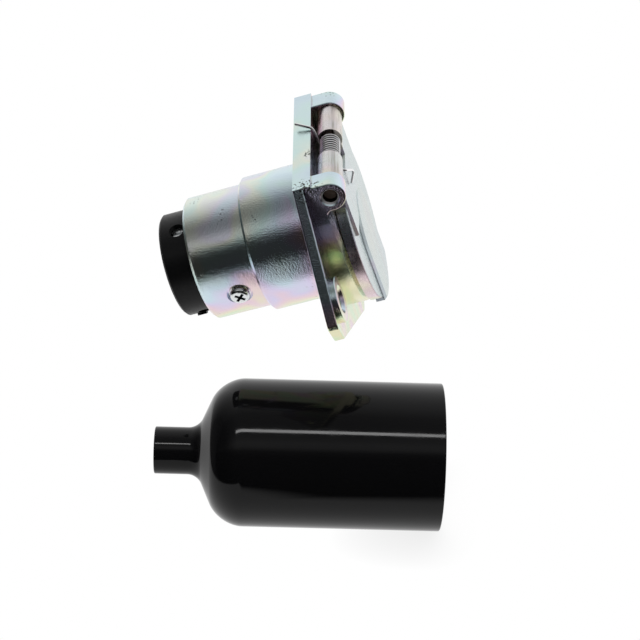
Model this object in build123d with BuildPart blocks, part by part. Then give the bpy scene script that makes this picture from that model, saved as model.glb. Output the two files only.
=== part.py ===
# Three-pin socket with a sprung hinged lid and a push-on cable boot, in millimetres.
# Origin: centre of the flange's rear face, on the barrel's axis.
# X runs along the lid hinge, the plug comes in from -Y, and the hinge is at the top, +Z.
from build123d import *
import os
from math import acos, atan2, cos, degrees, radians, sin

os.makedirs("parts", exist_ok=True)

# Barrels
front_barrel_d = 40.5
front_barrel_len = 20.6
rear_barrel_d = 37.1
rear_barrel_len = 17.7
barrel_edge = 0.8
mouth_bore_d = 35.0
insert_bore_d = 31.3
shoulder_y = 17.8
key_width = 3.2
key_height = 1.3
key_root = 0.5
key_end_gap = 0.2

# Flange and its two mounting bosses
flange_thick = 3.0
flange_top_half = 25.3
flange_top_z = 30.4
flange_end_x = 48.0
flange_end_z = -2.4
flange_facet_x = 44.8
flange_facet_z = -8.8
flange_foot_half = 3.6
flange_foot_z = -30.6
flange_corner_r = 1.8
flange_edge_r = 0.4
hole_spacing = 76.0
hole_d = 6.4
hole_chamfer = 0.9
boss_d = 13.3
boss_height = 1.7
boss_edge_r = 0.3

# Collar in front of the flange, around the plug's mouth
collar_d = 48.4
collar_front = 8.0
collar_bevel = 1.1
collar_side_z = 18.2
collar_top_z = 20.4

# Hinge block and ears
block_thick = 5.2
block_bottom_z = 17.0
ear_width = 6.7
ear_r = 4.4
ear_root_r = 1.5
ear_front = 7.0
ear_edge_r = 0.35

# Hinge pin
pin_d = 4.0
pin_front = 9.4
pin_z = 25.2
pin_recess = 1.8
pin_ear_clearance = 0.02
pin_lid_clearance = 0.08
pin_edge = 0.35
ear_sink_d = 5.8

# Lid
lid_d = 49.0
lid_gap = 0.25
lid_thick = 3.2
lid_skin = 1.6
lid_edge_r = 0.5
lid_hollow_gap = 2.9
tongue_width = 25.4
tongue_centre_z = -4.5
tongue_raise = 0.9
tongue_edge = 0.7
tab_reach = 1.0
tab_drop = 2.4
knuckle_r = 3.6
knuckle_side_gap = 0.35
web_rise = 0.7
web_bottom_z = 6.0
spring_bay_gap = 1.1
spring_bay_z = 19.2

# Lid gasket
gasket_edge_gap = 0.1
gasket_land = 4.0
gasket_land_gap = 0.15

# Torsion spring, wound around the pin
wire_d = 0.8
coil_r = 2.62
coil_pitch = 1.15
coil_turns = 8
coil_start_x = -5.2
leg_bend_r = 0.9
leg_seat_gap = 0.1
block_leg_drift = 2.8
block_leg_run = 4.7
block_leg_rise = 1.0
lid_leg_z = 20.3
hook_side = 5.4
hook_rise = 1.25
hook_drop = 3.8
hook_back = 4.4
hook_tip_drop = 1.6

# Contact carrier
insert_clearance = 0.12
insert_head_len = 7.0
insert_tail = 8.5
insert_edge = 0.6
tail_dish = 1.2
tail_rim = 1.6
lug_angle = 242.0
lug_inset = 3.8
lug_len = 2.8
lug_width = 2.0
lug_rise = 0.7
lug_root = 0.6
seal_thick = 1.5
seal_inner_gap = 0.1

# Contacts and their terminal screws
contact_count = 3
contact_first_angle = 107.0
contact_circle_r = 8.5
contact_d = 7.0
contact_bore_d = 5.0
contact_bore_len = 18.0
contact_slot = 0.8
contact_slot_len = 12.0
contact_clearance = 0.04
contact_recess = 0.5
wire_bore_d = 4.0
wire_bore_len = 12.0
terminal_inset = 5.7
terminal_hole_d = 4.5
terminal_screw_d = 3.5
terminal_head_d = 4.2
terminal_head_h = 1.8
terminal_reach = 2.2
screw_slot = 0.8
screw_slot_depth = 0.9
thread_clearance = 0.02

# Retaining screws through the rear barrel
retaining_y = 27.2
retaining_angles = (191.0, 11.0)
retaining_seat_drop = 1.3
retaining_seat_d = 7.7
retaining_seat_over = 1.0
retaining_tip_gap = 0.4
retaining_screw_d = 3.0
retaining_head_d = 5.9
retaining_head_h = 2.0
retaining_crown_r = 1.2
retaining_tip_r = 11.6
retaining_hole_d = 3.3
cross_width = 0.9
cross_length = 3.4
cross_depth = 1.1
cross_turn = 45
washer_d = 6.3
washer_bore_d = 3.2
washer_thick = 0.7
washer_gap = 0.6
washer_gap_turn = 20

# Cable boot, pulled off and lying beside the socket
boot_wall = 1.7
boot_fit = 0.5
boot_len = 86.7
boot_shoulder_at = 69.8
boot_neck_at = 73.6
boot_neck_d = 14.3
boot_shoulder_r = 11.0
boot_neck_fillet = 3.2
boot_mouth_place = (-29.0, -13.8, -72.6)
boot_tilt = 19.5

# Worked out from the sizes above
front_r = front_barrel_d / 2
rear_r = rear_barrel_d / 2
rear_end_y = front_barrel_len + rear_barrel_len
insert_end_y = rear_end_y + insert_tail
hinge_axis = Axis((0, -pin_front, pin_z), (1, 0, 0))
ear_inner = flange_top_half - ear_width
terminal_y = insert_end_y - terminal_inset
seat_r = rear_r - retaining_seat_drop
contact_angles = [contact_first_angle + 360 / contact_count * i for i in range(contact_count)]


def radial_plane(angle, radius, y):
    """A plane on the barrel's axis station y, facing outwards at an angle from +X, radius out."""
    way = (cos(radians(angle)), 0, sin(radians(angle)))
    place = (radius * way[0], y, radius * way[2])
    return Plane(origin=place, x_dir=(0, 1, 0), z_dir=way)


def contact_place(angle):
    """Where a contact's axis crosses the XZ plane's own axes."""
    return (contact_circle_r * cos(radians(angle)), contact_circle_r * sin(radians(angle)))


# Housing: barrels, flange, collar, hinge block and ears in one casting
with BuildPart() as housing:
    with BuildSketch(Plane.XZ) as flange_outline:
        with BuildLine():
            right = Polyline(
                (0, flange_top_z),
                (flange_top_half, flange_top_z),
                (flange_end_x, flange_end_z),
                (flange_facet_x, flange_facet_z),
                (flange_foot_half, flange_foot_z),
                (0, flange_foot_z),
            )
            mirror(right, about=Plane.YZ)
        make_face()
        corners = flange_outline.vertices().filter_by(lambda v: v.Y < collar_top_z)
        fillet(corners.filter_by(lambda v: abs(v.X) > flange_foot_half / 2), radius=flange_corner_r)
    extrude(amount=flange_thick)
    fillet(housing.edges().filter_by(Plane.XZ), radius=flange_edge_r)

    # Bosses round the mounting holes
    with BuildSketch(Plane.XZ.offset(flange_thick)):
        with GridLocations(hole_spacing, 1, 2, 1):
            Circle(boss_d / 2)
    extrude(amount=boss_height)
    fillet(housing.edges().group_by(Axis.Y)[0], radius=boss_edge_r)

    # Collar round the mouth, with flat sides that run up into the ears
    with BuildSketch(Plane.XZ):
        Circle(collar_d / 2)
        with BuildLine():
            side = Polyline(
                (0, collar_top_z),
                (flange_top_half, collar_top_z),
                (flange_top_half, collar_side_z),
                (collar_d / 2, 0),
                (0, 0),
            )
            mirror(side, about=Plane.YZ)
        make_face()
        with Locations((0, collar_top_z)):
            Rectangle(collar_d, collar_d, align=(Align.CENTER, Align.MIN), mode=Mode.SUBTRACT)
    extrude(amount=collar_front)
    rim = housing.faces().sort_by(Axis.Y)[0].outer_wire().edges()
    chamfer(rim.filter_by(lambda e: e.center().Z < collar_side_z), length=collar_bevel)

    # Hinge block behind the knuckles
    with BuildSketch(Plane.XZ):
        with Locations((0, block_bottom_z)):
            Rectangle(2 * flange_top_half, flange_top_z - block_bottom_z, align=(Align.CENTER, Align.MIN))
    extrude(amount=block_thick)

    # Ears that hold the pin, with a round root above the collar
    with BuildPart(mode=Mode.PRIVATE) as ear:
        with BuildSketch(Plane.YZ.offset(ear_inner)) as ear_outline:
            with Locations((-pin_front, pin_z)):
                Circle(ear_r)
                Rectangle(pin_front, 2 * ear_r, align=(Align.MIN, Align.CENTER))
            with Locations((-ear_front, block_bottom_z)):
                Rectangle(ear_front, pin_z - block_bottom_z, align=Align.MIN)
            root = ear_outline.vertices().sort_by_distance((-ear_front, pin_z - ear_r))[0]
            fillet(root, radius=ear_root_r)
        extrude(amount=ear_width)
        ear_rim = ear.edges().filter_by(Plane.YZ).filter_by(lambda e: e.center().Y < -block_thick)
        fillet(ear_rim.filter_by(lambda e: e.center().Z > block_bottom_z), radius=ear_edge_r)
    add(ear.part)
    add(mirror(ear.part, about=Plane.YZ, mode=Mode.PRIVATE))

    # Front and rear barrels
    with BuildSketch(Plane.XY):
        with BuildLine():
            Polyline(
                (0, 0),
                (front_r, 0),
                (front_r, front_barrel_len - barrel_edge),
                (front_r - barrel_edge, front_barrel_len),
                (rear_r, front_barrel_len),
                (rear_r, rear_end_y - barrel_edge),
                (rear_r - barrel_edge, rear_end_y),
                (0, rear_end_y),
                close=True,
            )
        make_face()
    revolve(axis=Axis.Y)

    # Mouth and the narrower seat of the contact carrier
    with BuildSketch(Plane.XY):
        with BuildLine():
            Polyline(
                (0, -collar_front),
                (mouth_bore_d / 2, -collar_front),
                (mouth_bore_d / 2, shoulder_y),
                (insert_bore_d / 2, shoulder_y),
                (insert_bore_d / 2, rear_end_y),
                (0, rear_end_y),
                close=True,
            )
        make_face()
    revolve(axis=Axis.Y, mode=Mode.SUBTRACT)

    # Polarising key at the bottom of the mouth
    insert_head_y = shoulder_y - seal_thick - insert_head_len
    with BuildSketch(Plane.XZ.offset(collar_front - collar_bevel)):
        with Locations((0, -mouth_bore_d / 2 - key_root)):
            Rectangle(key_width, key_height + key_root, align=(Align.CENTER, Align.MIN))
    extrude(amount=-(insert_head_y + collar_front - collar_bevel - key_end_gap))

    # Mounting holes
    with Locations(Plane.XZ.offset(flange_thick + boss_height)):
        with GridLocations(hole_spacing, 1, 2, 1):
            CounterSinkHole(hole_d / 2, hole_d / 2 + hole_chamfer, counter_sink_angle=90)

    # Pin holes, opened out at the ears' outer faces
    with BuildSketch(Plane.YZ.offset(-flange_top_half)):
        with Locations((-pin_front, pin_z)):
            Circle(pin_d / 2 + pin_ear_clearance)
    extrude(amount=2 * flange_top_half, mode=Mode.SUBTRACT)
    for side in (1, -1):
        with BuildSketch(Plane.YZ.offset(side * flange_top_half)):
            with Locations((-pin_front, pin_z)):
                Circle(ear_sink_d / 2)
        extrude(amount=-side * (ear_sink_d - pin_d) / 2, taper=45, mode=Mode.SUBTRACT)

    # Flat seats and holes of the retaining screws
    for angle in retaining_angles:
        with BuildSketch(radial_plane(angle, seat_r, retaining_y)):
            Circle(retaining_seat_d / 2)
        extrude(amount=retaining_seat_drop + retaining_seat_over, mode=Mode.SUBTRACT)
        with BuildSketch(radial_plane(angle, seat_r, retaining_y)):
            Circle(retaining_hole_d / 2)
        extrude(amount=insert_bore_d / 2 - rear_r, mode=Mode.SUBTRACT)
housing.part.label = "housing"
export_step(housing.part, "parts/housing.step")


# Lid: a shallow cap with a raised tongue and two knuckles
lid_back = collar_front + lid_gap
lid_face = lid_back + lid_thick
lid_hollow_r = mouth_bore_d / 2 + lid_hollow_gap
knuckle_reach = ear_inner - knuckle_side_gap
with BuildPart() as lid:
    with BuildSketch(Plane.XZ.offset(lid_back)):
        Circle(lid_d / 2)
    extrude(amount=lid_thick)
    fillet(lid.faces().sort_by(Axis.Y)[0].edges(), radius=lid_edge_r)

    # Raised tongue down the middle, which ends in a finger tab past the rim
    with BuildSketch(Plane.XZ.offset(lid_face - tab_drop)):
        with Locations((0, tongue_centre_z)):
            Circle(tongue_width / 2)
            Rectangle(tongue_width, lid_d, align=(Align.CENTER, Align.MAX))
        Circle(lid_d / 2 + tab_reach, mode=Mode.INTERSECT)
    extrude(amount=tab_drop + tongue_raise)
    chamfer(lid.faces().sort_by(Axis.Y)[0].edges(), length=tongue_edge)

    # Web that carries the knuckles
    with BuildSketch(Plane.XZ.offset(lid_back)):
        with Locations((0, web_bottom_z)):
            Rectangle(2 * knuckle_reach, pin_z - web_bottom_z, align=(Align.CENTER, Align.MIN))
    extrude(amount=lid_thick + web_rise)
    with BuildSketch(Plane.YZ.offset(-knuckle_reach)):
        with Locations((-pin_front, pin_z)):
            Circle(knuckle_r)
    extrude(amount=2 * knuckle_reach)

    # Hollow under the lid, and the bay that the spring turns in
    with BuildSketch(Plane.XZ.offset(lid_back)):
        Circle(lid_hollow_r)
    extrude(amount=lid_thick - lid_skin, mode=Mode.SUBTRACT)
    with BuildSketch(Plane.XZ.offset(pin_front - 2 * knuckle_r)):
        with Locations((coil_start_x - spring_bay_gap, spring_bay_z)):
            Rectangle(coil_pitch * coil_turns + 2 * spring_bay_gap, 2 * pin_z, align=Align.MIN)
    extrude(amount=4 * knuckle_r, mode=Mode.SUBTRACT)

    # Bore for the pin
    with BuildSketch(Plane.YZ.offset(-knuckle_reach)):
        with Locations((-pin_front, pin_z)):
            Circle(pin_d / 2 + pin_lid_clearance)
    extrude(amount=2 * knuckle_reach, mode=Mode.SUBTRACT)
lid.part.label = "lid"
export_step(lid.part, "parts/lid.step")

# Rubber ring inside the lid, pressed against the collar's face when it shuts
with BuildPart() as lid_gasket:
    with BuildSketch(Plane.XZ.offset(lid_back - lid_gap + gasket_land_gap)):
        Circle(lid_hollow_r - gasket_edge_gap)
        Circle(lid_hollow_r - gasket_edge_gap - gasket_land, mode=Mode.SUBTRACT)
    extrude(amount=lid_thick - lid_skin + lid_gap - gasket_land_gap)
lid_gasket.part.label = "lid_gasket"
export_step(lid_gasket.part, "parts/lid_gasket.step")

# Hinge pin, a little short of the ears' outer faces
with BuildPart() as hinge_pin:
    with BuildSketch(Plane.YZ.offset(-flange_top_half + pin_recess)):
        with Locations((-pin_front, pin_z)):
            Circle(pin_d / 2)
    extrude(amount=2 * (flange_top_half - pin_recess))
    chamfer(hinge_pin.edges().filter_by(GeomType.CIRCLE), length=pin_edge)
hinge_pin.part.label = "hinge_pin"
export_step(hinge_pin.part, "parts/hinge_pin.step")

# Torsion spring: a coil round the pin, one leg over the hinge block, one on the lid's front
lid_leg_y = -(lid_face + web_rise + wire_d / 2 + leg_seat_gap)
block_leg_y = -(block_thick + wire_d / 2 + leg_seat_gap)
block_leg_z = flange_top_z + wire_d / 2 + leg_seat_gap


def leg_angle(y, z, side):
    """The angle round the pin, from its rear over the top, where a straight leg to (y, z) meets the coil."""
    far = Vector(0, y + pin_front, z - pin_z)
    return degrees(atan2(far.Z, far.Y)) + side * degrees(acos(coil_r / far.length))


coil_begin = leg_angle(lid_leg_y, lid_leg_z, 1)
coil_end = leg_angle(block_leg_y, block_leg_z, -1)
coil_len = coil_pitch * (coil_turns + (coil_end - coil_begin) / 360)
with BuildPart() as torsion_spring:
    with BuildLine() as coil:
        turns = Helix(coil_pitch, coil_len, coil_r, hinge_axis.position + (coil_start_x, 0, 0),
                      hinge_axis.direction, mode=Mode.PRIVATE)
        add(turns.rotate(hinge_axis, coil_begin - 90))
    with BuildSketch(Plane(origin=coil.line @ 0, z_dir=coil.line % 0)):
        Circle(wire_d / 2)
    sweep(path=coil.line, is_frenet=True)

    # Leg that rises behind the coil and bends back over the hinge block
    last, way = coil.line @ 1, coil.line % 1
    bend = last + way * ((block_leg_z - last.Z) / way.Z)
    with BuildLine() as block_leg:
        FilletPolyline(last, bend, bend + (block_leg_drift, block_leg_run, block_leg_rise),
                       radius=leg_bend_r)
    with BuildSketch(Plane(origin=last, z_dir=way)):
        Circle(wire_d / 2)
    sweep(path=block_leg.line)

    # Leg that comes forward through the lid's bay, then hooks out and back onto its front
    first, way = coil.line @ 0, coil.line % 0
    seat = first + way * ((lid_leg_y - first.Y) / way.Y)
    hook = seat + (hook_side, -hook_rise, -hook_drop)
    with BuildLine() as lid_leg:
        FilletPolyline(first, seat, hook, hook + (-hook_back, hook_rise, -hook_tip_drop), radius=leg_bend_r)
    with BuildSketch(Plane(origin=first, z_dir=way)):
        Circle(wire_d / 2)
    sweep(path=lid_leg.line)
torsion_spring.part.label = "torsion_spring"
export_step(torsion_spring.part, "parts/torsion_spring.step")

# Contact carrier, moulded, with a head in the mouth and a tail out of the rear barrel
insert_r = insert_bore_d / 2 - insert_clearance
head_back_y = insert_head_y + insert_head_len
with BuildPart() as contact_insert:
    with BuildSketch(Plane.XY):
        with BuildLine():
            Polyline(
                (0, insert_head_y),
                (mouth_bore_d / 2 - insert_clearance - insert_edge, insert_head_y),
                (mouth_bore_d / 2 - insert_clearance, insert_head_y + insert_edge),
                (mouth_bore_d / 2 - insert_clearance, head_back_y),
                (insert_r, head_back_y),
                (insert_r, insert_end_y - insert_edge),
                (insert_r - insert_edge, insert_end_y),
                (insert_r - tail_rim, insert_end_y),
                (insert_r - tail_rim, insert_end_y - tail_dish),
                (0, insert_end_y - tail_dish),
                close=True,
            )
        make_face()
    revolve(axis=Axis.Y)
    for angle in contact_angles:
        with BuildSketch(Plane.XZ.offset(-insert_head_y)):
            with Locations(contact_place(angle)):
                Circle(contact_d / 2 + contact_clearance)
        extrude(amount=-(insert_end_y - insert_head_y), mode=Mode.SUBTRACT)
        with BuildSketch(radial_plane(angle, contact_circle_r, terminal_y)):
            Circle(terminal_hole_d / 2)
        extrude(amount=insert_r, mode=Mode.SUBTRACT)
    for angle in retaining_angles:
        with BuildSketch(radial_plane(angle, retaining_tip_r - retaining_tip_gap, retaining_y)):
            Circle(retaining_screw_d / 2 + thread_clearance)
        extrude(amount=insert_r, mode=Mode.SUBTRACT)
    # Small lug by the tail's rim
    with BuildSketch(radial_plane(lug_angle, insert_r - lug_root, insert_end_y - lug_inset)):
        Rectangle(lug_len, lug_width)
    extrude(amount=lug_root + lug_rise)
contact_insert.part.label = "contact_insert"
export_step(contact_insert.part, "parts/contact_insert.step")

# Sealing ring between the carrier's head and the shoulder in the housing
with BuildPart() as insert_seal_ring:
    with BuildSketch(Plane.XZ.offset(-head_back_y)):
        Circle(mouth_bore_d / 2 - insert_clearance)
        Circle(insert_r + seal_inner_gap, mode=Mode.SUBTRACT)
    extrude(amount=-seal_thick)
insert_seal_ring.part.label = "insert_seal_ring"
export_step(insert_seal_ring.part, "parts/insert_seal_ring.step")

# Female contacts: slotted sleeves in front, wire bores and cross holes behind
contact_front_y = insert_head_y + contact_recess
contact_back_y = insert_end_y - tail_dish
screw_seat_r = contact_circle_r + contact_d / 2
screw_tip_r = screw_seat_r - terminal_reach
for number, angle in enumerate(contact_angles, start=1):
    with BuildPart() as contact:
        with BuildSketch(Plane.XZ.offset(-contact_front_y)):
            with Locations(contact_place(angle)):
                Circle(contact_d / 2)
        extrude(amount=-(contact_back_y - contact_front_y))
        with BuildSketch(Plane.XZ.offset(-contact_front_y)):
            with Locations(contact_place(angle)):
                Circle(contact_bore_d / 2)
        extrude(amount=-contact_bore_len, mode=Mode.SUBTRACT)
        with BuildSketch(Plane.XZ.offset(-contact_front_y)):
            with Locations(contact_place(angle)):
                Rectangle(contact_slot, 2 * contact_d, rotation=angle + 90)
        extrude(amount=-contact_slot_len, mode=Mode.SUBTRACT)
        with BuildSketch(Plane.XZ.offset(-contact_back_y)):
            with Locations(contact_place(angle)):
                Circle(wire_bore_d / 2)
        extrude(amount=wire_bore_len, mode=Mode.SUBTRACT)
        with BuildSketch(radial_plane(angle, contact_circle_r, terminal_y)):
            Circle(terminal_screw_d / 2 + thread_clearance)
        extrude(amount=contact_d, mode=Mode.SUBTRACT)
    contact.part.label = f"contact_{number}"
    export_step(contact.part, f"parts/contact_{number}.step")

    with BuildPart() as terminal_screw:
        with BuildSketch(radial_plane(angle, screw_tip_r, terminal_y)):
            Circle(terminal_screw_d / 2)
        extrude(amount=terminal_reach)
        with BuildSketch(radial_plane(angle, screw_seat_r, terminal_y)):
            Circle(terminal_head_d / 2)
        extrude(amount=terminal_head_h)
        head_top = radial_plane(angle, screw_seat_r + terminal_head_h, terminal_y)
        with BuildSketch(head_top):
            Rectangle(2 * terminal_head_d, screw_slot)
        extrude(amount=-screw_slot_depth, mode=Mode.SUBTRACT)
    terminal_screw.part.label = f"terminal_screw_{number}"
    export_step(terminal_screw.part, f"parts/terminal_screw_{number}.step")

# Retaining screws through the rear barrel into the carrier, each on a split lock washer
for number, angle in enumerate(retaining_angles, start=1):
    head_seat_r = seat_r + washer_thick
    with BuildPart() as retaining_screw:
        with BuildSketch(radial_plane(angle, retaining_tip_r, retaining_y)):
            Circle(retaining_screw_d / 2)
        extrude(amount=head_seat_r - retaining_tip_r)
        with BuildSketch(radial_plane(angle, head_seat_r, retaining_y)):
            Circle(retaining_head_d / 2)
        extrude(amount=retaining_head_h)
        outside = radial_plane(angle, 2 * rear_r, retaining_y).origin
        crown = retaining_screw.faces().sort_by_distance(outside)[0]
        fillet(crown.edges(), radius=retaining_crown_r)
        with BuildSketch(radial_plane(angle, head_seat_r + retaining_head_h, retaining_y)):
            Rectangle(cross_length, cross_width, rotation=cross_turn)
            Rectangle(cross_width, cross_length, rotation=cross_turn)
        extrude(amount=-cross_depth, mode=Mode.SUBTRACT)
    retaining_screw.part.label = f"retaining_screw_{number}"
    export_step(retaining_screw.part, f"parts/retaining_screw_{number}.step")

    with BuildPart() as lock_washer:
        with BuildSketch(radial_plane(angle, seat_r, retaining_y)):
            Circle(washer_d / 2)
            Circle(washer_bore_d / 2, mode=Mode.SUBTRACT)
            with Locations((washer_d / 4 + washer_bore_d / 4, 0)):
                Rectangle(washer_d / 2, washer_gap, rotation=washer_gap_turn, mode=Mode.SUBTRACT)
        extrude(amount=washer_thick)
    lock_washer.part.label = f"lock_washer_{number}"
    export_step(lock_washer.part, f"parts/lock_washer_{number}.step")

# Cable boot: a thin moulded cup whose mouth slips over the front barrel
boot_way = (0, cos(radians(boot_tilt)), sin(radians(boot_tilt)))
boot_side = (0, -sin(radians(boot_tilt)), cos(radians(boot_tilt)))
boot_r = front_r + boot_fit + boot_wall
with BuildPart() as boot:
    with BuildSketch(Plane(origin=boot_mouth_place, x_dir=(1, 0, 0), z_dir=boot_side)) as boot_profile:
        with BuildLine():
            Polyline(
                (0, 0),
                (boot_r, 0),
                (boot_r, boot_shoulder_at),
                (boot_neck_d / 2, boot_neck_at),
                (boot_neck_d / 2, boot_len),
                (0, boot_len),
                close=True,
            )
        make_face()
        fillet(boot_profile.vertices().filter_by_position(Axis.Y, boot_shoulder_at, boot_shoulder_at),
               radius=boot_shoulder_r)
        fillet(boot_profile.vertices().filter_by_position(Axis.Y, boot_neck_at, boot_neck_at),
               radius=boot_neck_fillet)
    revolve(axis=Axis(boot_mouth_place, boot_way))
    offset(amount=-boot_wall, openings=boot.faces().filter_by(GeomType.PLANE))
boot.part.label = "boot"
export_step(boot.part, "parts/boot.step")
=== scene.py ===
# %% [markdown]
# A three-pin socket: a zinc-plated casting with a sprung lid, a black contact carrier and a glossy
# cable boot. The metal parts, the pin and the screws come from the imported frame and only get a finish
# here. What the frame holds too plainly for a close look, the boot and the spring, is modelled again
# as a smooth mesh.

from math import atan2, cos, pi, radians, sin, tan

import bpy
from mathutils import Matrix, Vector


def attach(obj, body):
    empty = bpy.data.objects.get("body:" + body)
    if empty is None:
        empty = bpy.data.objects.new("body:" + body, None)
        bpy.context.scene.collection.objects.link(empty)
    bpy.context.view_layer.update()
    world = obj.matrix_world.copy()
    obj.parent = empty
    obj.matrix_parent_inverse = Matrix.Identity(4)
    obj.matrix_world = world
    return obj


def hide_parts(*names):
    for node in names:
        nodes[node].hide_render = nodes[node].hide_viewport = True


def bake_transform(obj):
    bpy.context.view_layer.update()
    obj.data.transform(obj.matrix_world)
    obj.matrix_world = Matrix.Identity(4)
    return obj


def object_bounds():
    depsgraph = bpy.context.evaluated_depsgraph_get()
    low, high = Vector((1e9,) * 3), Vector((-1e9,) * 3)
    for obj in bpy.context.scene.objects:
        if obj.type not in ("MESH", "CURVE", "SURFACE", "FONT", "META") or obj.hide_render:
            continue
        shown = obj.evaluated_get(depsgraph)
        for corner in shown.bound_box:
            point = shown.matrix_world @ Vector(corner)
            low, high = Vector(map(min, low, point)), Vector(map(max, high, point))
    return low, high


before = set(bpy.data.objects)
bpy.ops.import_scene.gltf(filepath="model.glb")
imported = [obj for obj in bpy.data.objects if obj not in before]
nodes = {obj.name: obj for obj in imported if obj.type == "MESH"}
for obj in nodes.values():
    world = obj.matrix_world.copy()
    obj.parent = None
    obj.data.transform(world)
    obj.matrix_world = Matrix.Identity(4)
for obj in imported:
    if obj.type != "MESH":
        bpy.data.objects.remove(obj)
cad_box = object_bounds()

# %% [markdown]
# The photograph looks down on the socket from its hinge side, with the camera rolled so that the
# barrel lies nearly level. The camera's place, its aim and its roll come from fitting the outlines of
# the barrels, the flange and the ears, and a long lens keeps the perspective as weak as it is in the
# picture.

# %% Camera
PHOTO_SIDE = 640
FOCAL_PX = 1900.0
SENSOR_WIDTH = 36.0
CLIP_START = 0.01
CAMERA_PLACE = Vector((-0.4654, -0.0949, 0.3018))
CAMERA_AXES = (
    (0.0015, -0.9532, -0.3024),
    (0.6022, -0.2406, 0.7613),
    (-0.7984, -0.1832, 0.5736),
)
PHOTO_RIGHT, PHOTO_UP, TO_CAMERA = (Vector(axis).normalized() for axis in CAMERA_AXES)

bpy.ops.object.select_all(action="DESELECT")
bpy.ops.object.camera_add(location=CAMERA_PLACE)
camera = bpy.context.object
camera.name = "photo_camera"
camera.data.sensor_width = SENSOR_WIDTH
camera.data.lens = SENSOR_WIDTH * FOCAL_PX / PHOTO_SIDE
camera.data.clip_start = CLIP_START
camera.rotation_mode = "QUATERNION"
camera.rotation_quaternion = Matrix((PHOTO_RIGHT, PHOTO_UP, TO_CAMERA)).transposed().to_quaternion()
bpy.context.scene.camera = camera
bpy.context.scene.view_settings.view_transform = "Standard"
print("lens", round(camera.data.lens, 1), "mm")

# %% [markdown]
# The world, the floor and every finish are shader nodes. A few helpers keep them short: one adds a
# node and feeds its sockets, with a plain value or with another node's output, and the others wrap
# the nodes that come back most. A remap takes a value from one range to another and holds it at both
# ends.

# %% Node helpers
def feed(tree, socket, value):
    """Links the socket when the value is another node's output, and otherwise sets its own value."""
    if isinstance(value, bpy.types.NodeSocket):
        tree.links.new(value, socket)
    elif socket.type == "RGBA":
        socket.default_value = (*value, 1)
    else:
        socket.default_value = value


def add_node(tree, kind, inputs=None, **settings):
    """A new node with its settings and its fed inputs."""
    node = tree.nodes.new(kind)
    for key, value in settings.items():
        setattr(node, key, value)
    for socket, value in (inputs or {}).items():
        feed(tree, node.inputs[socket], value)
    return node


def maths(tree, operation, first, second):
    return add_node(tree, "ShaderNodeMath", {0: first, 1: second}, operation=operation).outputs[0]


def vector_maths(tree, operation, first, second=(0, 0, 0)):
    node = add_node(tree, "ShaderNodeVectorMath", {0: first, 1: second}, operation=operation)
    gives_number = operation in ("DOT_PRODUCT", "DISTANCE", "LENGTH")
    return node.outputs["Value" if gives_number else "Vector"]


def remap(tree, value, low, high, to_low=0.0, to_high=1.0, curve="LINEAR"):
    inputs = {"Value": value, "From Min": low, "From Max": high, "To Min": to_low, "To Max": to_high}
    return add_node(tree, "ShaderNodeMapRange", inputs, interpolation_type=curve).outputs["Result"]


def mix_number(tree, mask, first, second):
    return add_node(tree, "ShaderNodeMix", {"Factor": mask, "A": first, "B": second}).outputs["Result"]


def mix_colour(tree, mask, first, second, blend="MIX"):
    inputs = {"Factor": mask, "A": first, "B": second}
    return add_node(tree, "ShaderNodeMix", inputs, data_type="RGBA", blend_type=blend).outputs["Result"]


def mix_shader(tree, mask, first, second):
    inputs = {0: mask, 1: first.outputs[0], 2: second.outputs[0]}
    return add_node(tree, "ShaderNodeMixShader", inputs).outputs[0]


def fill_ramp(ramp, stops):
    """Puts the stops on a colour ramp. Each is a place from 0 to 1 and a colour."""
    for place, colour in stops[1:-1]:
        ramp.elements.new(place).color = (*colour, 1)
    ramp.elements[0].color = (*stops[0][1], 1)
    ramp.elements[-1].color = (*stops[-1][1], 1)


# %% [markdown]
# Bright metal shows its surroundings more than its own colour, so the studio matters as much as the
# finish. Seen from the camera, the photograph's metal reflects a white table, a grey wall, a narrow
# lamp and the dark room round the camera. The world holds those as bands by angle, fixed in space
# round one long axis, and dims towards the picture's left, where the boot's shoulder would mirror it.

# %% Studio bands
# Angle in degrees from the camera's direction towards the picture's top, and how bright the studio
# is there
STUDIO_BANDS = (
    (-180, 0.90), (-150, 0.86), (-112, 0.74), (-92, 0.45), (-80, 0.06), (-52, 0.024), (-2, 0.024),
    (6, 0.10), (13, 0.50), (19, 0.56), (25, 0.42), (36, 0.24), (52, 0.20), (66, 0.24), (84, 0.56),
    (106, 0.76), (132, 0.93), (180, 0.90),
)
# How far a direction points to the picture's right, from and to, and how much light is left at each
LEFT_FADE = (-0.85, -0.40, 0.10, 1.0)


def studio_world():
    """The white page for the camera, and the banded studio for everything that reflects it."""
    world = bpy.data.worlds.new("studio")
    world.use_nodes = True
    tree = world.node_tree
    tree.nodes.clear()
    way = add_node(tree, "ShaderNodeTexCoord").outputs["Generated"]
    outwards, upwards, rightwards = (
        vector_maths(tree, "DOT_PRODUCT", way, axis) for axis in (TO_CAMERA, PHOTO_UP, PHOTO_RIGHT)
    )
    angle = maths(tree, "ARCTAN2", upwards, outwards)
    bands = add_node(tree, "ShaderNodeValToRGB", {"Fac": remap(tree, angle, -pi, pi)})
    stops = [((degrees + 180) / 360, (level,) * 3) for degrees, level in STUDIO_BANDS]
    fill_ramp(bands.color_ramp, stops)
    light = {"Color": bands.outputs["Color"], "Strength": remap(tree, rightwards, *LEFT_FADE)}
    studio = add_node(tree, "ShaderNodeBackground", light)
    page = add_node(tree, "ShaderNodeBackground", {"Color": (1, 1, 1)})
    by_camera = add_node(tree, "ShaderNodeLightPath").outputs["Is Camera Ray"]
    add_node(tree, "ShaderNodeOutputWorld", {"Surface": mix_shader(tree, by_camera, studio, page)})
    bpy.context.scene.world = world
    return len(bands.color_ramp.elements)


print("studio bands:", studio_world())

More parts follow.
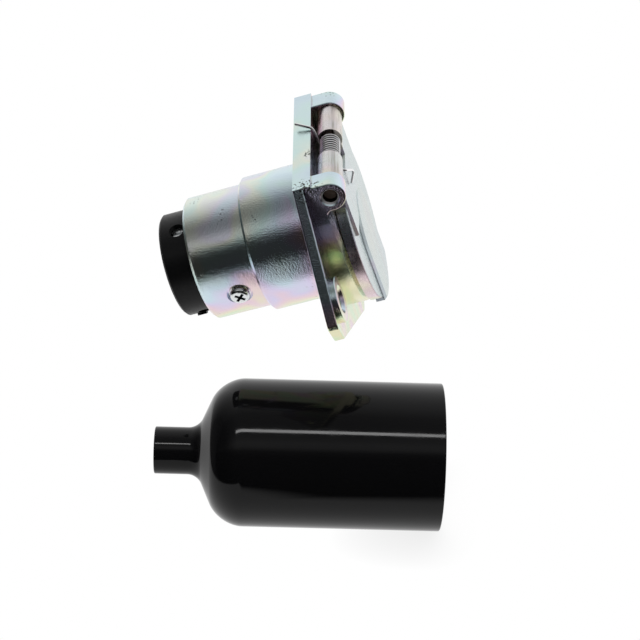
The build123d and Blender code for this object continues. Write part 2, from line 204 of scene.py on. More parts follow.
# %% [markdown]
# The floor is a plain white table below the object. It shines white by itself for the camera and for
# what reflects it, with a faint painted contact shadow where the object nearly touches it. In
# reflections it fades out towards the camera, because there the photograph's metal shows the dark
# room beyond the table's edge. That dark corner has two edges, each a place, a direction and a width,
# and the rear barrel mirrors what lies beside it.

# %% Floor
FLOOR_DROP = 0.0005
FLOOR_SIZE = 1.6
FLOOR_REFLECTED = 0.92
ROOM_REFLECTED = 0.02
PAPER = (0.8, 0.8, 0.8)
NEAR_EDGE = (Vector((-0.115, 0.030, 0)), radians(27), 0.03)
SIDE_EDGE = (Vector((-0.152, 0.045, 0)), radians(74), 0.035)
CONTACT_SHADOW_REACH = 0.012
CONTACT_SHADOW_DEPTH = 0.2

bpy.ops.object.select_all(action="DESELECT")
bpy.ops.mesh.primitive_plane_add(size=FLOOR_SIZE, location=(0, 0, cad_box[0].z - FLOOR_DROP))
floor = bpy.context.object
floor.name = "white_floor"
bpy.ops.object.transform_apply(location=True, rotation=True, scale=True)


def white_page():
    """Paper that is its own light for camera, glossy and transmission rays, and dull for all others."""
    material = bpy.data.materials.new("white_page")
    material.use_nodes = True
    tree = material.node_tree
    tree.nodes.clear()
    ray = add_node(tree, "ShaderNodeLightPath").outputs
    place = add_node(tree, "ShaderNodeTexCoord").outputs["Object"]
    lit = []
    for at, turn, width in (NEAR_EDGE, SIDE_EDGE):
        from_edge = vector_maths(tree, "SUBTRACT", place, at)
        inwards = vector_maths(tree, "DOT_PRODUCT", from_edge, (cos(turn), sin(turn), 0))
        reflected = (ROOM_REFLECTED, FLOOR_REFLECTED)
        lit.append(remap(tree, inwards, -width / 2, width / 2, *reflected, "SMOOTHSTEP"))
    level = remap(tree, ray["Is Camera Ray"], 0.0, 1.0, maths(tree, "MAXIMUM", *lit))
    # Painted contact shadow: the floor's own glow darkens by ambient occlusion near the object
    contact = add_node(tree, "ShaderNodeAmbientOcclusion", {"Distance": CONTACT_SHADOW_REACH}).outputs["Color"]
    shade = mix_colour(tree, CONTACT_SHADOW_DEPTH, (1, 1, 1), contact)
    glow = add_node(tree, "ShaderNodeEmission", {"Color": shade, "Strength": level})
    dull = add_node(tree, "ShaderNodeBsdfDiffuse", {"Color": PAPER})
    seen = maths(tree, "MAXIMUM", ray["Is Camera Ray"], ray["Is Glossy Ray"])
    seen = maths(tree, "MAXIMUM", seen, ray["Is Transmission Ray"])
    add_node(tree, "ShaderNodeOutputMaterial", {"Surface": mix_shader(tree, seen, dull, glow)})
    return material


floor.data.materials.append(white_page())
print("floor at", round(cad_box[0].z - FLOOR_DROP, 4), "m")

# %% [markdown]
# Two lamps: a long narrow one gives the single bright line along the boot, and is later linked to the
# boot alone, and a broad soft one lights the dull surfaces evenly without a mirror image of its own.

# %% Lamps
STRIP_ANGLE = 35
STRIP_FAR = 0.9
STRIP_SIZE = (0.9, 0.07)
STRIP_POWER = 2.4
SOFT_ANGLE = 75
SOFT_LEFT = 0.2
SOFT_FAR = 1.0
SOFT_SIZE = (0.8, 0.8)
SOFT_POWER = 6.0


def lamp(name, way, distance, size, power):
    """An area lamp that looks back at the middle of the object from the given direction."""
    middle = (cad_box[0] + cad_box[1]) / 2
    back = way.normalized()
    across = (PHOTO_RIGHT - back * PHOTO_RIGHT.dot(back)).normalized()
    turn = Matrix((across, back.cross(across), back)).transposed().to_quaternion()
    bpy.ops.object.light_add(type="AREA", location=middle + back * distance)
    light = bpy.context.object
    light.name = name
    light.rotation_mode = "QUATERNION"
    light.rotation_quaternion = turn
    light.data.shape = "RECTANGLE"
    light.data.size, light.data.size_y = size
    light.data.energy = power
    return light


def at_angle(degrees):
    """The direction that many degrees from the camera towards the top of the picture."""
    return TO_CAMERA * cos(radians(degrees)) + PHOTO_UP * sin(radians(degrees))


strip_lamp = lamp("strip_lamp", at_angle(STRIP_ANGLE), STRIP_FAR, STRIP_SIZE, STRIP_POWER)
soft_way = at_angle(SOFT_ANGLE) - PHOTO_RIGHT * SOFT_LEFT
soft_box = lamp("soft_box", soft_way, SOFT_FAR, SOFT_SIZE, SOFT_POWER)
soft_box.visible_glossy = False
print("lamps:", strip_lamp.name, soft_box.name)

# %% [markdown]
# Effects that several finishes share are node groups, each built once with named sockets. The film is
# the thin rainbow skin that passivated zinc has: soft patches of mint, sky, pink, straw and green
# over pale metal. Its hue drifts over the part, bluer on the surfaces that face up and warmer on
# those that face down; that up-and-down part is a painted reflection tint, not the film's own colour.

# %% Film group
FILM_STOPS = (
    (0.00, (1.00, 0.95, 0.64)),
    (0.09, (0.80, 1.00, 0.68)),
    (0.18, (1.00, 0.94, 0.68)),
    (0.28, (1.00, 0.76, 0.84)),
    (0.38, (0.86, 0.78, 1.00)),
    (0.49, (0.76, 0.90, 1.00)),
    (0.60, (0.80, 0.95, 1.00)),
    (0.70, (0.78, 0.98, 0.94)),
    (0.79, (0.94, 0.98, 0.86)),
    (0.87, (0.90, 0.88, 0.97)),
    (1.00, (0.78, 0.92, 1.00)),
)
# The range of the noise, and the range of hues that it is spread over
FILM_DRIFT = (0.32, 0.68, 0.24, 0.62)
NUMBER = "NodeSocketFloat"
COLOUR = "NodeSocketColor"
VECTOR = "NodeSocketVector"


def new_group(name, inputs, outputs):
    """An empty shader group with its sockets, the outputs of its input node, and its output node."""
    group = bpy.data.node_groups.new(name, "ShaderNodeTree")
    for socket, kind, value in inputs:
        made = group.interface.new_socket(socket, in_out="INPUT", socket_type=kind)
        if value is not None:
            made.default_value = value
    for socket, kind in outputs:
        group.interface.new_socket(socket, in_out="OUTPUT", socket_type=kind)
    return group, group.nodes.new("NodeGroupInput").outputs, group.nodes.new("NodeGroupOutput")


def film_group():
    """Rainbow patches for plated metal. Depth is how strongly they tint the base colour, Facing how
    far the hue follows the surface's own direction as a painted reflection tint, and Shift moves the
    whole range of hues."""
    inputs = (
        ("Vector", VECTOR, None), ("Normal", VECTOR, None), ("Base", COLOUR, (0.8, 0.8, 0.8, 1)),
        ("Scale", NUMBER, 60.0), ("Depth", NUMBER, 0.8), ("Facing", NUMBER, 0.26),
        ("Shift", NUMBER, 0.0),
    )
    group, given, made = new_group("plating_film", inputs, (("Color", COLOUR),))
    soft = {"Detail": 1.5, "Roughness": 0.4, "Distortion": 0.35}
    patches = {"Vector": given["Vector"], "Scale": given["Scale"], **soft}
    noise = add_node(group, "ShaderNodeTexNoise", patches)
    # Bluer facing up and warmer facing down: a painted reflection tint
    upwards = add_node(group, "ShaderNodeSeparateXYZ", {0: given["Normal"]}).outputs["Z"]
    drift = remap(group, noise.outputs["Fac"], *FILM_DRIFT)
    hue = maths(group, "ADD", drift, maths(group, "MULTIPLY", upwards, given["Facing"]))
    hues = add_node(group, "ShaderNodeValToRGB", {"Fac": maths(group, "ADD", hue, given["Shift"])})
    fill_ramp(hues.color_ramp, FILM_STOPS)
    tinted = mix_colour(group, given["Depth"], given["Base"], hues.outputs["Color"], "MULTIPLY")
    feed(group, made.inputs["Color"], tinted)
    return group


FILM = film_group()
print("group:", FILM.name)

# %% [markdown]
# Cast and tumbled metal is never one even gloss. The grain group mottles the roughness and lifts tiny
# dimples, and the streak group does the same along one direction, as on drawn or wiped metal.

# %% Grain and streak groups
GRAIN_RANGE = (0.35, 0.68)
STREAK_RANGE = (0.5, 0.72)


def grain_group():
    """Fine mottling. Rough varies between Smooth and Dull, and Height goes to a bump."""
    inputs = (
        ("Vector", VECTOR, None), ("Scale", NUMBER, 900.0),
        ("Smooth", NUMBER, 0.15), ("Dull", NUMBER, 0.35),
    )
    group, given, made = new_group("cast_grain", inputs, (("Rough", NUMBER), ("Height", NUMBER)))
    fine = {"Vector": given["Vector"], "Scale": given["Scale"], "Detail": 3.0}
    noise = add_node(group, "ShaderNodeTexNoise", fine).outputs["Fac"]
    feed(group, made.inputs["Rough"], remap(group, noise, *GRAIN_RANGE, given["Smooth"], given["Dull"]))
    feed(group, made.inputs["Height"], noise)
    return group


def streak_group():
    """Noise stretched along one axis. Stretch is how often it changes per metre of X, Y and Z."""
    inputs = (("Vector", VECTOR, None), ("Stretch", VECTOR, (60.0, 900.0, 900.0)))
    group, given, made = new_group("wiped_streaks", inputs, (("Mask", NUMBER),))
    stretched = vector_maths(group, "MULTIPLY", given["Vector"], given["Stretch"])
    noise = add_node(group, "ShaderNodeTexNoise", {"Vector": stretched, "Scale": 1.0, "Detail": 4.0})
    feed(group, made.inputs["Mask"], remap(group, noise.outputs["Fac"], *STREAK_RANGE))
    return group


GRAIN = grain_group()
STREAKS = streak_group()
print("groups:", GRAIN.name, STREAKS.name)

# %% [markdown]
# Three masks put marks in their places. Pits are sparse dark dots, flakes are dense speckles round
# one point, and the third mask is a cylinder round a line, which finds the pin's bore, the knuckles
# and the screw's cross.

# %% Mask groups
PIT_PATCHES = 130.0
PIT_FALLOFF = (0.12, 0.26, 1.0, 0.0)
FLAKE_SPECKLE = 1500.0
FLAKE_CROWDING = 0.22
FLAKE_RANGE = (0.64, 0.72)


def pit_group():
    """A mask that is 1 in small sparse pits. Many moves how much of the surface may have them."""
    inputs = (("Vector", VECTOR, None), ("Scale", NUMBER, 700.0), ("Many", NUMBER, 0.62))
    group, given, made = new_group("tumbling_pits", inputs, (("Mask", NUMBER),))
    spread = {"Vector": given["Vector"], "Scale": given["Scale"], "Randomness": 1.0}
    cells = add_node(group, "ShaderNodeTexVoronoi", spread)
    patches = add_node(group, "ShaderNodeTexNoise", {"Vector": given["Vector"], "Scale": PIT_PATCHES})
    dots = remap(group, cells.outputs["Distance"], *PIT_FALLOFF)
    allowed = maths(group, "GREATER_THAN", patches.outputs["Fac"], given["Many"])
    feed(group, made.inputs["Mask"], maths(group, "MULTIPLY", dots, allowed))
    return group


def axis_group():
    """A mask that is 1 within Radius of a line through Point along Along, and fades out over Soft."""
    inputs = (
        ("Vector", VECTOR, None), ("Point", VECTOR, None), ("Along", VECTOR, (1.0, 0.0, 0.0)),
        ("Radius", NUMBER, 0.002), ("Soft", NUMBER, 0.0001),
    )
    group, given, made = new_group("round_a_line", inputs, (("Mask", NUMBER),))
    offset = vector_maths(group, "SUBTRACT", given["Vector"], given["Point"])
    far = vector_maths(group, "LENGTH", vector_maths(group, "CROSS_PRODUCT", offset, given["Along"]))
    outer = maths(group, "ADD", given["Radius"], given["Soft"])
    feed(group, made.inputs["Mask"], remap(group, far, given["Radius"], outer, 1.0, 0.0))
    return group


def flake_group():
    """A mask of flaked plating round Point: speckles that thin out from it towards Radius."""
    inputs = (("Vector", VECTOR, None), ("Point", VECTOR, None), ("Radius", NUMBER, 0.005))
    group, given, made = new_group("flaked_patch", inputs, (("Mask", NUMBER),))
    far = vector_maths(group, "DISTANCE", given["Vector"], given["Point"])
    crowded = remap(group, far, 0.0, given["Radius"], FLAKE_CROWDING, 0.0)
    fine = {"Vector": given["Vector"], "Scale": FLAKE_SPECKLE, "Detail": 2.0}
    speckle = add_node(group, "ShaderNodeTexNoise", fine).outputs["Fac"]
    flakes = remap(group, maths(group, "ADD", speckle, crowded), *FLAKE_RANGE)
    inside = maths(group, "LESS_THAN", far, given["Radius"])
    feed(group, made.inputs["Mask"], maths(group, "MULTIPLY", flakes, inside))
    return group


PITS = pit_group()
ROUND_A_LINE = axis_group()
FLAKED = flake_group()
print("groups:", PITS.name, ROUND_A_LINE.name, FLAKED.name)

# %% [markdown]
# Each finish is one Principled shader with the groups feeding its colour, roughness and bump. A small
# helper starts a material with the shader and the object's own coordinates, so that each finish stays
# short.

# %% Material helpers
def start_material(name, metallic=1.0):
    """A material with a Principled shader, and its texture coordinates."""
    material = bpy.data.materials.new(name)
    material.use_nodes = True
    tree = material.node_tree
    shader = tree.nodes["Principled BSDF"]
    shader.inputs["Metallic"].default_value = metallic
    return material, tree, shader, add_node(tree, "ShaderNodeTexCoord").outputs


def use_group(tree, group, where, **values):
    """Places a group in a material, fed by the coordinates, with its own values."""
    node = add_node(tree, "ShaderNodeGroup", node_tree=group)
    feed(tree, node.inputs["Vector"], where["Object"])
    if "Normal" in node.inputs:
        feed(tree, node.inputs["Normal"], where["Normal"])
    for socket, value in values.items():
        feed(tree, node.inputs[socket], value)
    return node.outputs


def bump(tree, shader, height, distance):
    """Feeds a height to the shader's normal through one Bump node, and returns the node."""
    node = add_node(tree, "ShaderNodeBump", {"Height": height, "Distance": distance})
    feed(tree, shader.inputs["Normal"], node.outputs["Normal"])
    return node


def add_grain(tree, shader, where, scale, smooth, dull, depth):
    """Grain for the whole finish: its roughness and its bump."""
    grain = use_group(tree, GRAIN, where, Scale=scale, Smooth=smooth, Dull=dull)
    feed(tree, shader.inputs["Roughness"], grain["Rough"])
    bump(tree, shader, grain["Height"], depth)


# %% [markdown]
# Bright zinc on the casting: a pale metal, tinted by the film and mottled by the grain. Tumbling
# leaves a few small pits that stay dark, and the plating is flaked at one corner. The bore round the
# hinge pin is painted dark as shade instead of a shine, and the rougher ring round it gets a painted
# highlight. Behind the flange and high up on the casting the film takes another range of hues.

# %% Zinc on the casting
HINGE = Vector((0, -0.0094, 0.0252))
HINGE_LINE = {"Point": HINGE, "Along": (1, 0, 0)}
PIN_BORE_R = 0.00205
HIGHLIGHT_RING_R = 0.00248
RING_EDGE = 0.0001
RING_ROUGH = 0.6
# Where a change of hue starts and ends along Y or Z, and the shift at each end
FILM_BEHIND = (0.000, 0.012, -0.24, 0.02)
FILM_ABOVE = (0.010, 0.018, -0.24, -0.12)
FLAKED_SPOTS = (((-0.0250, -0.0040, 0.0300), 0.0048), ((-0.0075, -0.0050, 0.0303), 0.0025))
PIT_COLOUR = (0.16, 0.16, 0.16)
FLAKE_COLOUR = (0.10, 0.11, 0.10)
# The ring round the pin bore is rougher, and its brighter colour is a painted highlight
RING_HIGHLIGHT = (0.95, 0.95, 0.95)
BORE_SHADE = (0.03, 0.028, 0.026)
CAST_DIMPLE = 0.00006


def cast_zinc():
    """The casting's plating: film, grain, pits, painted shade in the pin bore and a rougher ring round
    it with a painted highlight.
    """
    material, tree, shader, where = start_material("bright_zinc")
    place = add_node(tree, "ShaderNodeSeparateXYZ", {0: where["Object"]}).outputs
    behind = remap(tree, place["Y"], *FILM_BEHIND)
    above = remap(tree, place["Z"], *FILM_ABOVE)
    shift = maths(tree, "MAXIMUM", behind, above)
    film = use_group(
        tree, FILM, where, Base=(0.85, 0.86, 0.87), Scale=66.0, Depth=1.0, Facing=0.34, Shift=shift
    )
    pits = use_group(tree, PITS, where, Scale=900.0, Many=0.65)
    bore = use_group(tree, ROUND_A_LINE, where, **HINGE_LINE, Radius=PIN_BORE_R, Soft=RING_EDGE)
    ring = use_group(tree, ROUND_A_LINE, where, **HINGE_LINE, Radius=HIGHLIGHT_RING_R, Soft=RING_EDGE)
    colour = mix_colour(tree, pits["Mask"], film["Color"], PIT_COLOUR)
    for point, radius in FLAKED_SPOTS:
        flakes = use_group(tree, FLAKED, where, Point=point, Radius=radius)
        colour = mix_colour(tree, flakes["Mask"], colour, FLAKE_COLOUR)
    # Painted highlight on the ring round the bore
    colour = mix_colour(tree, ring["Mask"], colour, RING_HIGHLIGHT)
    # Painted shade in the pin bore
    feed(tree, shader.inputs["Base Color"], mix_colour(tree, bore["Mask"], colour, BORE_SHADE))
    grain = use_group(tree, GRAIN, where, Scale=2600.0, Smooth=0.09, Dull=0.18)
    feed(tree, shader.inputs["Roughness"], mix_number(tree, ring["Mask"], grain["Rough"], RING_ROUGH))
    bump(tree, shader, grain["Height"], CAST_DIMPLE)
    return material


CAST_ZINC = cast_zinc()
print("finish:", CAST_ZINC.name)

# %% [markdown]
# The lid has the same plating, but it was wiped: its face is satin, with faint streaks down its
# length, and its two knuckles are cream-coloured, with darker drag marks along the pin. One mask
# round the hinge line parts the two. The edges of the raised tongue and of the web are worn round, so
# they shine more as the face beside them does.

# %% Zinc on the lid
KNUCKLE_R = 0.0043
KNUCKLE_EDGE = 0.0006
LID_FACE_Y = -0.0115
FACE_STREAKS = (700.0, 700.0, 45.0)
KNUCKLE_STREAKS = (110.0, 1500.0, 1500.0)
DRAG_COLOUR = (0.50, 0.48, 0.43)
WIPED_COLOUR = (0.66, 0.69, 0.69)
# Masks by the Y of the surface's own direction, which is -1 on the lid's face. Each is where the mask
# starts and ends, and its value at both.
AWAY_FROM_FACE = (-0.9, -0.6, 0.0, 1.0)
SLANTED = (-0.45, -0.15, 1.0, 0.0)
SQUARE = (-0.5, -0.2, 0.0, 1.0)
# The same by the place along Y: what stands proud of the face
PROUD = (LID_FACE_Y, LID_FACE_Y + 0.0002, 1.0, 0.0)
TOWARDS_FACE = (0, -1, 0)
EDGE_LEAN = 0.54
EDGE_ROUGH = 0.50
STREAK_DEPTH = 0.000001


def lid_edge_masks(tree, where):
    """Masks for what doesn't face forwards, for the worn edges, and for the square ones among them."""
    facing = add_node(tree, "ShaderNodeSeparateXYZ", {0: where["Normal"]}).outputs["Y"]
    place = add_node(tree, "ShaderNodeSeparateXYZ", {0: where["Object"]}).outputs["Y"]
    away = remap(tree, facing, *AWAY_FROM_FACE)
    raised = maths(tree, "MAXIMUM", remap(tree, facing, *SLANTED), remap(tree, place, *PROUD))
    worn = maths(tree, "MULTIPLY", away, raised)
    return away, worn, maths(tree, "MULTIPLY", worn, remap(tree, facing, *SQUARE))


def lid_zinc():
    """The lid's plating: a quiet film, streaks down the face, dark drag marks on the knuckles."""
    material, tree, shader, where = start_material("streaked_zinc")
    away, worn, frosted = lid_edge_masks(tree, where)
    face = use_group(
        tree, FILM, where, Base=(0.73, 0.76, 0.76), Scale=30.0, Depth=0.40, Facing=0.0, Shift=0.2
    )
    wiped = use_group(tree, STREAKS, where, Stretch=FACE_STREAKS)["Mask"]
    satin = mix_colour(tree, wiped, face["Color"], WIPED_COLOUR)
    rim = use_group(
        tree, FILM, where, Base=(0.84, 0.83, 0.83), Scale=62.0, Depth=0.8, Facing=0.34, Shift=0.0
    )
    plated = mix_colour(tree, away, satin, rim["Color"])
    knuckle = use_group(
        tree, FILM, where, Base=(0.80, 0.79, 0.74), Scale=70.0, Depth=0.35, Facing=0.0, Shift=-0.1
    )
    drag = use_group(tree, STREAKS, where, Stretch=KNUCKLE_STREAKS)["Mask"]
    dragged = mix_colour(tree, drag, knuckle["Color"], DRAG_COLOUR)
    near = use_group(tree, ROUND_A_LINE, where, **HINGE_LINE, Radius=KNUCKLE_R, Soft=KNUCKLE_EDGE)
    feed(tree, shader.inputs["Base Color"], mix_colour(tree, near["Mask"], plated, dragged))
    feed(tree, shader.inputs["Metallic"], maths(tree, "SUBTRACT", 1.0, frosted))
    grain = use_group(tree, GRAIN, where, Scale=900.0, Smooth=0.22, Dull=0.34)
    feed(tree, shader.inputs["Roughness"], mix_number(tree, worn, grain["Rough"], EDGE_ROUGH))
    lean = {"Factor": maths(tree, "MULTIPLY", worn, EDGE_LEAN), "A": where["Normal"], "B": TOWARDS_FACE}
    rounded = add_node(tree, "ShaderNodeMix", lean, data_type="VECTOR").outputs["Result"]
    in_world = add_node(
        tree, "ShaderNodeVectorTransform", {0: rounded},
        vector_type="NORMAL", convert_from="OBJECT", convert_to="WORLD",
    )
    faint = bump(tree, shader, wiped, STREAK_DEPTH)
    feed(tree, faint.inputs["Normal"], in_world.outputs[0])
    return material


LID_ZINC = lid_zinc()
print("finish:", LID_ZINC.name)

# %% [markdown]
# The retaining screws have painted shade in the cross of their heads, below the head's top and near its
# axis.
# The spring wire is bright, with painted shade in the grooves of the coil, nearer to the pin than the
# crests of the turns.

# %% Screws and spring wire
SCREW_ANGLE = radians(11)
SCREW_LINE = {"Point": (0, 0.0272, 0), "Along": (cos(SCREW_ANGLE), 0, sin(SCREW_ANGLE))}
BARREL_AXIS = (0, 1, 0)
CROSS_R = 0.00175
CROSS_EDGE = 0.0001
CROSS_FLOOR_R = 0.0192
CROSS_FLOOR_EDGE = 0.0002
CREST_R = 0.00288
CREST_EDGE = 0.00005
CROSS_SHADE = (0.03, 0.04, 0.045)
GROOVE_SHADE = (0.02, 0.02, 0.02)


def recessed_zinc():
    """The retaining screws' zinc, with painted shade in the cross."""
    material, tree, shader, where = start_material("shaded_zinc")
    across = use_group(tree, ROUND_A_LINE, where, **SCREW_LINE, Radius=CROSS_R, Soft=CROSS_EDGE)
    deep = use_group(
        tree, ROUND_A_LINE, where, Along=BARREL_AXIS, Radius=CROSS_FLOOR_R, Soft=CROSS_FLOOR_EDGE
    )
    # Painted shade in the cross recess of each head
    shaded_cross = maths(tree, "MULTIPLY", across["Mask"], deep["Mask"])
    feed(tree, shader.inputs["Base Color"], mix_colour(tree, shaded_cross, (0.80, 0.83, 0.84), CROSS_SHADE))
    add_grain(tree, shader, where, scale=1500.0, smooth=0.12, dull=0.30, depth=0.00001)
    return material


def groove_shaded_wire():
    """Bright wire with painted shade between the turns."""
    material, tree, shader, where = start_material("spring_wire")
    inside = use_group(tree, ROUND_A_LINE, where, **HINGE_LINE, Radius=CREST_R, Soft=CREST_EDGE)
    # Painted shade in the grooves: all of the wire nearer the pin than the crests is dark
    feed(tree, shader.inputs["Base Color"], mix_colour(tree, inside["Mask"], (0.95, 0.95, 0.96), GROOVE_SHADE))
    add_grain(tree, shader, where, scale=1200.0, smooth=0.06, dull=0.14, depth=0.00001)
    return material


SHADED_ZINC = recessed_zinc()
SPRING_WIRE = groove_shaded_wire()
print("finishes:", SHADED_ZINC.name, SPRING_WIRE.name)

# %% [markdown]
# The pin, the other screws, the brass contacts, the black mouldings and the rubber get plainer
# finishes: one colour, with the grain in its gloss.

# %% Plain finishes
def plain_finish(name, base, metallic, smooth, dull, scale, depth, shine=0.5):
    """One colour all over. Shine is how strongly anything but metal mirrors its surroundings."""
    material, tree, shader, where = start_material(name, metallic)
    shader.inputs["Base Color"].default_value = (*base, 1)
    shader.inputs["Specular IOR Level"].default_value = shine
    add_grain(tree, shader, where, scale, smooth, dull, depth)
    return material


PIN_STEEL = plain_finish(
    "pin_steel", (0.16, 0.12, 0.10), metallic=1.0, smooth=0.35, dull=0.60, scale=1500.0, depth=0.00003
)
SCREW_ZINC = plain_finish(
    "screw_zinc", (0.78, 0.80, 0.81), metallic=1.0, smooth=0.12, dull=0.30, scale=1500.0, depth=0.00001
)
BRASS = plain_finish(
    "turned_brass", (0.78, 0.58, 0.28), metallic=1.0, smooth=0.18, dull=0.32, scale=900.0, depth=0.00001
)
BLACK_MOULDING = plain_finish(
    "black_moulding", (0.008, 0.008, 0.0085), metallic=0.0, smooth=0.30, dull=0.42, scale=1400.0,
    depth=0.00001, shine=0.20,
)
RUBBER = plain_finish(
    "soft_rubber", (0.02, 0.02, 0.02), metallic=0.0, smooth=0.55, dull=0.75, scale=1200.0, depth=0.00003
)
BOOT_GLOSS = plain_finish(
    "boot_gloss", (0.0045, 0.0045, 0.005), metallic=0.0, smooth=0.05, dull=0.10, scale=140.0,
    depth=0.000005, shine=0.19,
)

FINISHES = {
    "housing": CAST_ZINC,
    "lid": LID_ZINC,
    "lid_gasket": RUBBER,
    "hinge_pin": PIN_STEEL,
    "torsion_spring": SPRING_WIRE,
    "contact_insert": BLACK_MOULDING,
    "insert_seal_ring": RUBBER,
    "contact": BRASS,
    "terminal_screw": SCREW_ZINC,
    "retaining_screw": SHADED_ZINC,
    "lock_washer": SCREW_ZINC,
    "boot": BOOT_GLOSS,
}
# The numbered nodes, such as contact_1, share the finish of their kind
for name, node in nodes.items():
    finish = FINISHES.get(name) or FINISHES[name.rsplit("_", 1)[0]]
    node.data.materials.clear()
    node.data.materials.append(finish)
print("finishes on CAD nodes:", len(nodes))

# %% [markdown]
# New pieces are shaped in edit mode. A helper selects vertices by their place and enters edit mode,
# and others apply a modifier at once or put an object's place into its mesh, so that each piece ends
# at the origin unturned.

# %% Edit-mode helpers
def make_active(obj):
    """Selects the object alone and makes it the active one."""
    bpy.ops.object.select_all(action="DESELECT")
    obj.select_set(True)
    bpy.context.view_layer.objects.active = obj


def edit(obj, pick, kind="EDGE"):
    """Goes into edit mode with only the vertices selected that pick(co) chooses."""
    make_active(obj)
    bpy.ops.object.mode_set(mode="EDIT")
    bpy.ops.mesh.select_mode(type="VERT")
    bpy.ops.mesh.select_all(action="DESELECT")
    bpy.ops.object.mode_set(mode="OBJECT")
    for vertex in obj.data.vertices:
        vertex.select = pick(vertex.co)
    bpy.ops.object.mode_set(mode="EDIT")
    bpy.ops.mesh.select_mode(type=kind)


def leave_edit():
    bpy.ops.object.mode_set(mode="OBJECT")


def add_modifier(obj, kind, **settings):
    """Adds a modifier with its settings and applies it at once."""
    made = obj.modifiers.new(kind.lower(), kind)
    for key, value in settings.items():
        setattr(made, key, value)
    bpy.context.view_layer.objects.active = obj
    bpy.ops.object.modifier_apply(modifier=made.name)


def apply_place(obj):
    make_active(obj)
    bpy.ops.object.transform_apply(location=True, rotation=True, scale=True)


# %% [markdown]
# The boot is one smooth moulding: a long cup, a sloping shoulder and a short neck. Its body starts as
# a cylinder without ends. The top ring is extruded inwards to the neck and then up it, the two
# corners get their round by bevelling those rings, and Solidify gives the wall its thickness inwards,
# so the outside keeps its true size. The shoulder slopes a little more than the solid's, as it does
# in the photograph.

# %% Boot shell
BOOT_MOUTH = Vector((-0.029, -0.0138, -0.0726))
BOOT_TILT = radians(19.5)
BOOT_R = 0.02245
BOOT_WALL = 0.0017
BOOT_SHOULDER_AT = 0.0668
BOOT_NECK_AT = 0.0736
BOOT_NECK_R = 0.00715
BOOT_LENGTH = 0.0867
BOOT_SHOULDER_ROUND = 0.011
BOOT_NECK_ROUND = 0.0045
BOOT_LIP_ROUND = 0.0004
BOOT_SIDES = 128
BOOT_SHOULDER_STEPS = 16
BOOT_NECK_STEPS = 8
BOOT_LIP_STEPS = 3
BOOT_LIP_ANGLE = radians(60)
BOOT_SMOOTH_ANGLE = radians(35)
SAME_HEIGHT = 1e-5

bpy.ops.object.select_all(action="DESELECT")
bpy.ops.mesh.primitive_cylinder_add(
    vertices=BOOT_SIDES, radius=BOOT_R, depth=BOOT_SHOULDER_AT, end_fill_type="NOTHING",
    location=(0, 0, BOOT_SHOULDER_AT / 2),
)
boot_shell = bpy.context.object
boot_shell.name = "boot_shell"
apply_place(boot_shell)
edit(boot_shell, lambda co: co.z > BOOT_SHOULDER_AT / 2)
shoulder_rise = BOOT_NECK_AT - BOOT_SHOULDER_AT
for rise, shrink in ((shoulder_rise, BOOT_NECK_R / BOOT_R), (BOOT_LENGTH - BOOT_NECK_AT, 1.0)):
    bpy.ops.mesh.extrude_region_move(TRANSFORM_OT_translate={"value": (0, 0, rise)})
    bpy.ops.transform.resize(value=(shrink, shrink, 1))
leave_edit()
shoulder_turn = atan2(BOOT_R - BOOT_NECK_R, shoulder_rise)
for height, round_r, steps in (
    (BOOT_SHOULDER_AT, BOOT_SHOULDER_ROUND, BOOT_SHOULDER_STEPS),
    (BOOT_NECK_AT, BOOT_NECK_ROUND, BOOT_NECK_STEPS),
):
    edit(boot_shell, lambda co: abs(co.z - height) < SAME_HEIGHT)
    bpy.ops.mesh.bevel(offset=round_r * tan(shoulder_turn / 2), segments=steps, profile=0.5)
    leave_edit()
add_modifier(boot_shell, "SOLIDIFY", thickness=BOOT_WALL, offset=-1, use_even_offset=True)
add_modifier(
    boot_shell, "BEVEL", width=BOOT_LIP_ROUND, segments=BOOT_LIP_STEPS, limit_method="ANGLE",
    angle_limit=BOOT_LIP_ANGLE,
)
boot_shell.rotation_euler = (BOOT_TILT - pi / 2, 0, 0)
boot_shell.location = BOOT_MOUTH
apply_place(boot_shell)
bpy.ops.object.shade_smooth_by_angle(angle=BOOT_SMOOTH_ANGLE)
boot_shell.data.materials.append(BOOT_GLOSS)
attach(boot_shell, "socket_body")
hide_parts("boot")
# The photograph's barrels mirror the white table where the black boot would show in them
boot_shell.visible_glossy = False
boot_only = bpy.data.collections.new("boot_only")
boot_only.objects.link(boot_shell)
strip_lamp.light_linking.receiver_collection = boot_only
print("boot shell:", len(boot_shell.data.polygons), "faces")

# %% [markdown]
# The torsion spring is one round wire: eight open turns round the pin, a leg over the hinge block and
# a hooked leg on the lid. A single point is swept into the coil by a Screw modifier, the legs are
# extruded from its two ends, the bends are rounded by a vertex bevel, and the line then becomes a
# curve with a round section.

# %% Spring coil
WIRE_R = 0.0004
COIL_R = 0.00262
COIL_PITCH = 0.00115
COIL_START_X = -0.0052
COIL_BEGIN = radians(-60.1)
COIL_SWEEP = radians(8 * 360 + 49.8)
TURN_STEPS = 36

bpy.ops.object.select_all(action="DESELECT")
bpy.ops.mesh.primitive_plane_add(size=WIRE_R, location=(0, 0, 0))
spring = bpy.context.object
spring.name = "spring_wire"
edit(spring, lambda co: True, "VERT")
bpy.ops.mesh.merge(type="CENTER")
bpy.ops.transform.translate(value=(0, COIL_R * cos(COIL_BEGIN), COIL_R * sin(COIL_BEGIN)))
leave_edit()
coil_turns = COIL_SWEEP / (2 * pi)
coil_steps = round(coil_turns * TURN_STEPS)
add_modifier(
    spring, "SCREW", axis="X", angle=COIL_SWEEP, screw_offset=COIL_PITCH * coil_turns,
    steps=coil_steps, render_steps=coil_steps,
)
spring.location = HINGE + Vector((COIL_START_X, 0, 0))
apply_place(spring)
print("spring coil:", coil_steps, "steps round the pin")

# %% [markdown]
# Each leg leaves the coil the way the wire was running, up to the height of the face that it presses
# on, and bends there. The one on the block lies slanted over it. The one on the lid goes out sideways
# and hooks back.

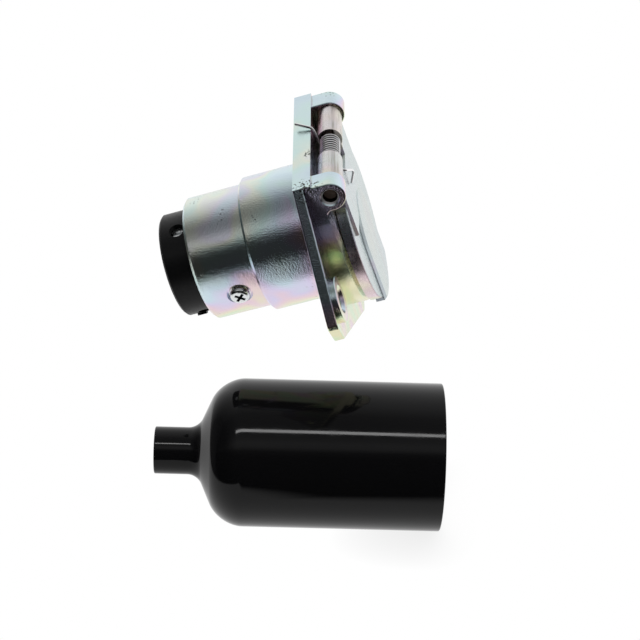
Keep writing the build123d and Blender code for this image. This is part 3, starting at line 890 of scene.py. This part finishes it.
# %% Spring legs
LEG_BEND_R = 0.0009
LEG_BEND_STEPS = 6
SAME_PLACE = 1e-6
BLOCK_LEG_Z = 0.0309
BLOCK_LEG_RUN = Vector((0.0028, 0.0047, 0.0010))
LID_LEG_Y = -0.01265
HOOK_OUT = Vector((0.0054, -0.00125, -0.0038))
HOOK_BACK = Vector((-0.0044, 0.00125, -0.0016))
WIRE_ROUNDNESS = 3
WIRE_SMOOTH_ANGLE = radians(50)


def coil_way(angle):
    """The direction in which the wire runs on at an angle round the pin."""
    return Vector((COIL_PITCH / (2 * pi), -COIL_R * sin(angle), COIL_R * cos(angle))).normalized()


def add_leg(end, points):
    """Extrudes the wire from one end through the points and rounds every corner."""
    for at, to in zip([end, *points], points):
        edit(spring, lambda co: (co - at).length < SAME_PLACE, "VERT")
        bpy.ops.mesh.extrude_region_move(TRANSFORM_OT_translate={"value": to - at})
        leave_edit()
    for before, corner, after in zip([end, *points], points, points[1:]):
        turn = (corner - before).angle(after - corner)
        edit(spring, lambda co: (co - corner).length < SAME_PLACE, "VERT")
        offset = LEG_BEND_R * tan(turn / 2)
        bpy.ops.mesh.bevel(offset=offset, segments=LEG_BEND_STEPS, affect="VERTICES")
        leave_edit()


coil_first = min(spring.data.vertices, key=lambda vertex: vertex.co.x).co.copy()
coil_last = max(spring.data.vertices, key=lambda vertex: vertex.co.x).co.copy()
way = coil_way(COIL_BEGIN + COIL_SWEEP)
block_bend = coil_last + way * (BLOCK_LEG_Z - coil_last.z) / way.z
add_leg(coil_last, [block_bend, block_bend + BLOCK_LEG_RUN])
way = coil_way(COIL_BEGIN)
lid_bend = coil_first + way * (LID_LEG_Y - coil_first.y) / way.y
add_leg(coil_first, [lid_bend, lid_bend + HOOK_OUT, lid_bend + HOOK_OUT + HOOK_BACK])
make_active(spring)
bpy.ops.object.convert(target="CURVE")
spring.data.bevel_depth = WIRE_R
spring.data.bevel_resolution = WIRE_ROUNDNESS
spring.data.use_fill_caps = True
bpy.ops.object.convert(target="MESH")
bpy.ops.object.shade_smooth_by_angle(angle=WIRE_SMOOTH_ANGLE)
spring.data.materials.clear()
spring.data.materials.append(SPRING_WIRE)
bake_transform(spring)
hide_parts("torsion_spring")
print("spring wire:", len(spring.data.polygons), "faces")

# %% Sizes
print("CAD box", [tuple(round(v, 4) for v in c) for c in cad_box])
